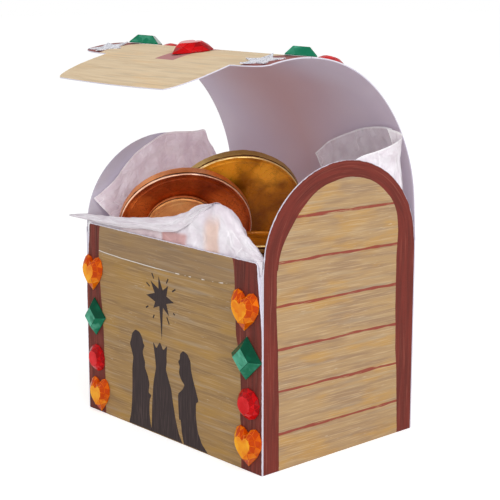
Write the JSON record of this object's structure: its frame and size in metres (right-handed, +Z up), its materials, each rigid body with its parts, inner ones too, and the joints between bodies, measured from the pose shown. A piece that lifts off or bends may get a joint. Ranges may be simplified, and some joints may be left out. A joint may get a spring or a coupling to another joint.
{
  "type": "treasure chest box",
  "caption": "Painted card treasure chest with a bowed tuck lid, glued gems, tissue paper lining and foil coins inside.",
  "frame": {"origin": "centre of the floor's underside, midway between the end panels", "axes": "+X to the right end, -Y towards the front panel, +Z up"},
  "size_m": [0.1528, 0.1383, 0.2023],
  "materials": {
    "painted_card": "matt brushed paint",
    "lid_card": "painted outside, white inside",
    "white_card": "smooth matt",
    "tissue_paper": "thin, slightly sheer",
    "copper_foil": "copper foil",
    "gold_foil": "gold foil",
    "orange_gem": "clear-cut acrylic",
    "green_gem": "clear-cut acrylic",
    "red_gem": "clear-cut acrylic",
    "glitter_star": "silver glitter"
  },
  "bodies": {
    "chest": {"floor_panel": "white_card", "front_panel": "painted_card", "back_panel": "painted_card", "left_end_panel": "painted_card", "right_end_panel": "painted_card", "front_left_glue_tab": "white_card", "front_right_glue_tab": "white_card", "back_left_glue_tab": "white_card", "back_right_glue_tab": "white_card", "left_floor_tab": "white_card", "right_floor_tab": "white_card", "lid_strip_1": "lid_card", "left_heart_upper_gem": "orange_gem", "left_diamond_gem": "green_gem", "left_round_gem": "red_gem", "left_heart_lower_gem": "orange_gem", "right_heart_upper_gem": "orange_gem", "right_diamond_gem": "green_gem", "right_round_gem": "red_gem", "right_heart_lower_gem": "orange_gem", "tissue_bed": "tissue_paper", "tissue_front": "tissue_paper", "tissue_back_left": "tissue_paper", "tissue_back_right": "tissue_paper", "copper_coin_large": "copper_foil", "copper_coin_small": "copper_foil", "gold_coin_large": "gold_foil", "gold_coin_flat_upper": "gold_foil", "gold_coin_flat_lower": "gold_foil"},
    "lid_2": {"lid_strip_2": "lid_card"},
    "lid_3": {"lid_strip_3": "lid_card"},
    "lid_4": {"lid_strip_4": "lid_card"},
    "lid_5": {"lid_strip_5": "lid_card"},
    "lid_6": {"lid_strip_6": "lid_card", "lid_left_round_gem": "red_gem", "lid_right_round_gem": "red_gem"},
    "lid_7": {"lid_strip_7": "lid_card", "lid_left_diamond_gem": "green_gem", "lid_right_diamond_gem": "green_gem"},
    "lid_8": {"lid_strip_8": "lid_card", "lid_heart_gem": "red_gem", "lid_left_star": "glitter_star", "lid_right_star": "glitter_star"},
    "flap": {"tuck_flap": "lid_card"}
  },
  "joints": [
    {"name": "lid_bend_1", "type": "hinge", "parent": "chest", "child": "lid_2", "pos_m": [0, 0.05046, 0.12105], "axis": [1, 0, 0], "range_deg": [0, 20], "deforming": ["tissue_front", "tissue_back_left", "tissue_back_right"]},
    {"name": "lid_bend_2", "type": "hinge", "parent": "lid_2", "child": "lid_3", "pos_m": [0, 0.04637, 0.14118], "axis": [1, 0, 0], "range_deg": [0, 15]},
    {"name": "lid_bend_3", "type": "hinge", "parent": "lid_3", "child": "lid_4", "pos_m": [0, 0.03752, 0.15973], "axis": [1, 0, 0], "range_deg": [0, 8]},
    {"name": "lid_bend_4", "type": "hinge", "parent": "lid_4", "child": "lid_5", "pos_m": [0, 0.02445, 0.17558], "axis": [1, 0, 0], "range_deg": [0, 5]},
    {"name": "lid_bend_5", "type": "hinge", "parent": "lid_5", "child": "lid_6", "pos_m": [0, 0.00763, 0.18736], "axis": [1, 0, 0], "range_deg": [0, 4]},
    {"name": "lid_bend_6", "type": "hinge", "parent": "lid_6", "child": "lid_7", "pos_m": [0, -0.01178, 0.19404], "axis": [1, 0, 0], "range_deg": [0, 6]},
    {"name": "lid_bend_7", "type": "hinge", "parent": "lid_7", "child": "lid_8", "pos_m": [0, -0.03228, 0.19548], "axis": [1, 0, 0], "range_deg": [0, 6]},
    {"name": "flap_fold", "type": "hinge", "parent": "lid_8", "child": "flap", "pos_m": [0, -0.05275, 0.19284], "axis": [1, 0, 0], "range_deg": [-60, 0]}
  ]
}
